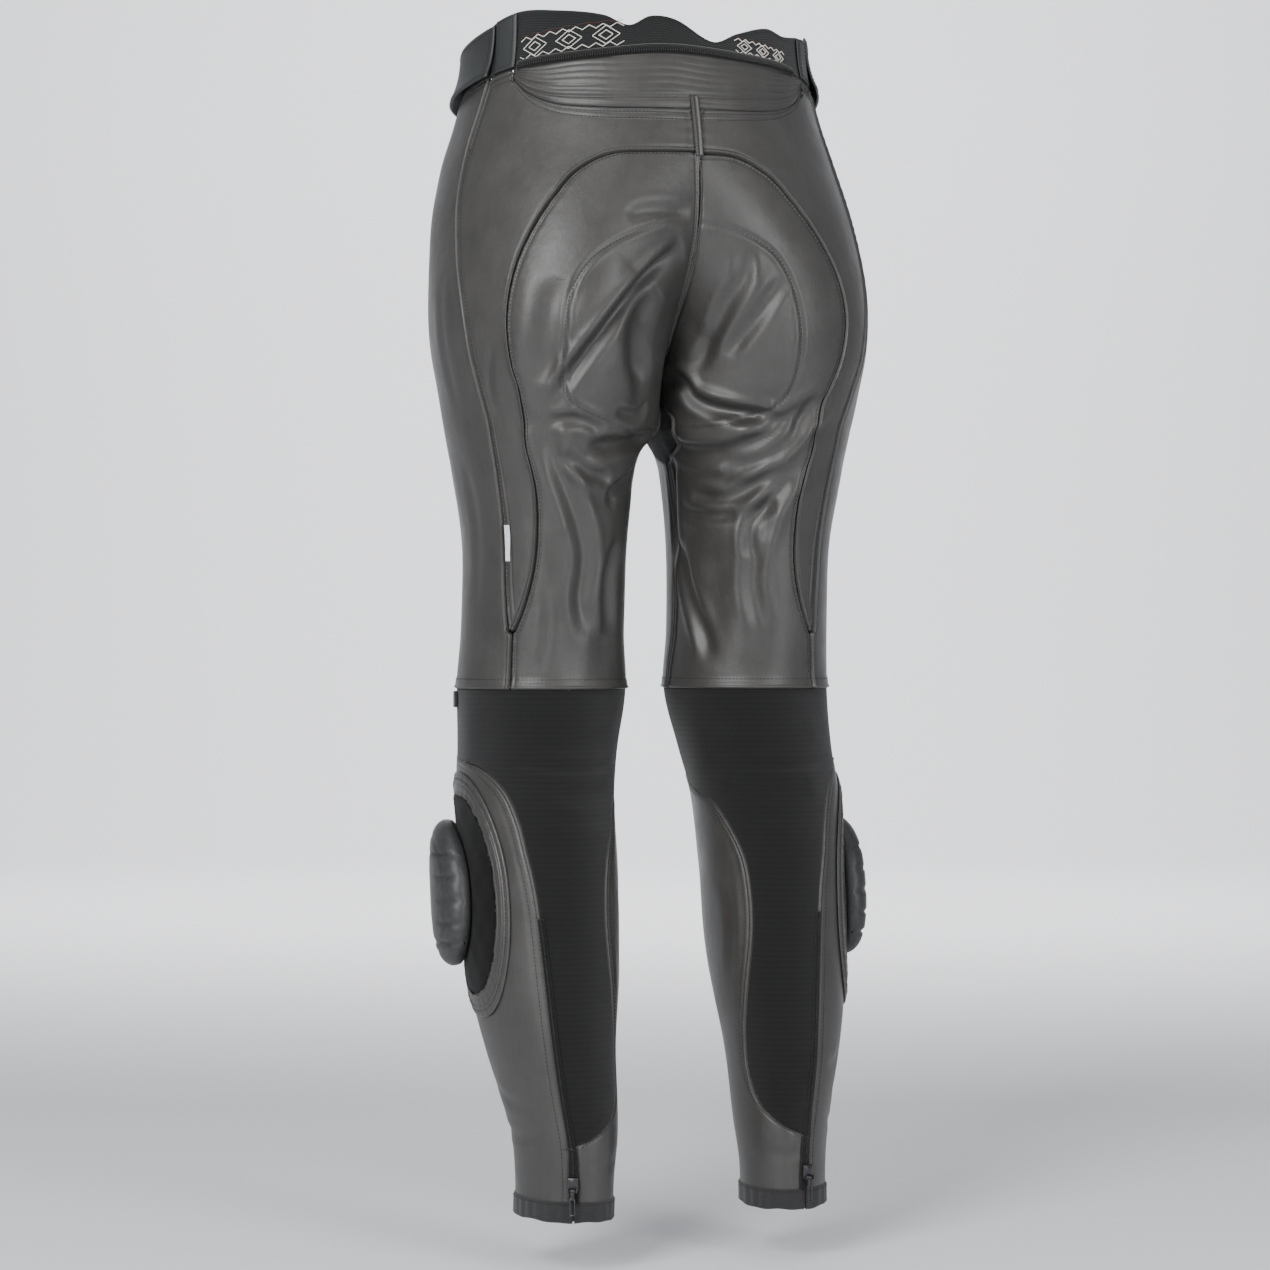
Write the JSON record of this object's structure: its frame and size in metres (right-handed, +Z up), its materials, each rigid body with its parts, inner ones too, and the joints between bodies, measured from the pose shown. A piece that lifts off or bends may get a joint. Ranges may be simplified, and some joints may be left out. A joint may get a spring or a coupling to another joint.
{
  "type": "motorcycle trousers",
  "caption": "Leather motorcycle trousers with stretch knit calves, knee sliders, elastic back waist and zipped cuffs, hollow and standing as worn.",
  "frame": {"origin": "centre of the waist, at the seam under the waistband", "axes": "+Z up, the wearer faces -Y, the wearer's left is +X"},
  "size_m": [0.3941, 0.2858, 1.0316],
  "materials": {
    "leather": "satin graphite grey leather with a fine grain",
    "knit": "matt black stretch knit with fine cross ribs",
    "elastic": "matt dark woven elastic",
    "binding": "matt dark grey woven binding",
    "velcro": "matt black hook-and-loop pile",
    "slider_plastic": "dark grey moulded plastic",
    "zip_tape": "black coil zip",
    "metal": "gunmetal plated",
    "label": "plain white woven label"
  },
  "bodies": {
    "root": {"back_strip": "leather", "calf_inner_left": "leather", "calf_inner_right": "leather", "calf_outer_left": "leather", "calf_outer_right": "leather", "cuff_left": "binding", "cuff_right": "binding", "fly_button": "metal", "fly_flap": "leather", "front_left": "leather", "front_right": "leather", "gusset_left": "knit", "gusset_right": "knit", "hem_tab": "binding", "jacket_zip_tape": "zip_tape", "knee_band_left": "leather", "knee_band_right": "leather", "knee_patch_left": "velcro", "knee_patch_right": "velcro", "knee_slider_left": "slider_plastic", "knee_slider_right": "slider_plastic", "knit_calf_left": "knit", "knit_calf_right": "knit", "lumbar_panel": "leather", "seat_left": "leather", "seat_right": "leather", "shin_left": "leather", "shin_right": "leather", "side_label": "label", "tab_patch_left": "elastic", "tab_patch_right": "elastic", "tab_strap_left": "elastic", "tab_strap_right": "elastic", "waistband_back": "elastic", "waistband_front_left": "leather", "waistband_front_right": "leather", "yoke_side_left": "leather", "yoke_side_right": "leather", "zip_chain_left": "zip_tape", "zip_chain_right": "zip_tape", "zip_slider_left": "metal", "zip_slider_right": "metal"},
    "pull_left": {"zip_pull_left": "metal"},
    "pull_right": {"zip_pull_right": "metal"}
  },
  "joints": [
    {"name": "zip_pull_left_swing", "type": "hinge", "parent": "root", "child": "pull_left", "pos_m": [0.11255, 0.15069, -0.95668], "axis": [0.8918, -0.4524, 0], "range_deg": [0, 150]},
    {"name": "zip_pull_right_swing", "type": "hinge", "parent": "root", "child": "pull_right", "pos_m": [-0.10281, 0.15424, -0.95669], "axis": [0.9753, 0.2208, 0], "range_deg": [0, 150]}
  ]
}
